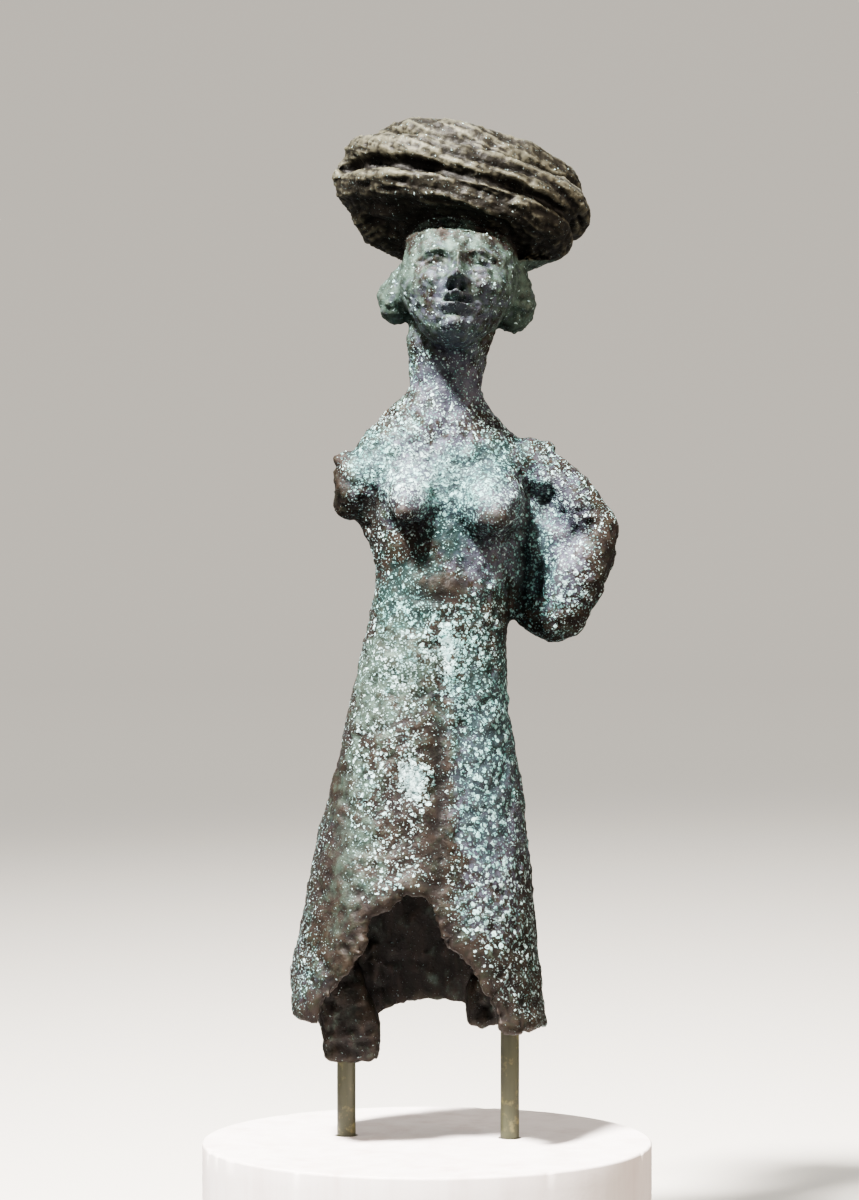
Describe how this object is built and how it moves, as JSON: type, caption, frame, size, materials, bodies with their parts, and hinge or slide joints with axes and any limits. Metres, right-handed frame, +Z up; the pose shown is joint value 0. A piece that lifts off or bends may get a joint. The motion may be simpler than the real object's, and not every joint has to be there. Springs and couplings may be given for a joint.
{
  "type": "bronze offering bearer figure on rod stand",
  "caption": "Small cast bronze woman in a long hollow skirt, a wound load on her head and one arm bent to her hip, held up on thin rods above a round white base.",
  "frame": {"origin": "centre of the round base's underside", "axes": "+Z up, -Y the way the figure faces, +X towards the figure's own left, which is the viewer's right"},
  "size_m": [0.06, 0.06, 0.1543],
  "materials": {
    "bronze": "cast bronze, dark brown with a speckled green and white corrosion crust",
    "rod_paint": "thin olive green paint, rubbed in spots",
    "base_paint": "turned, with thin matt white paint"
  },
  "bodies": {
    "root": {"figure": "bronze", "rod_under_right_leg": "rod_paint", "rod_under_left_leg": "rod_paint", "round_base": "base_paint"}
  },
  "joints": []
}
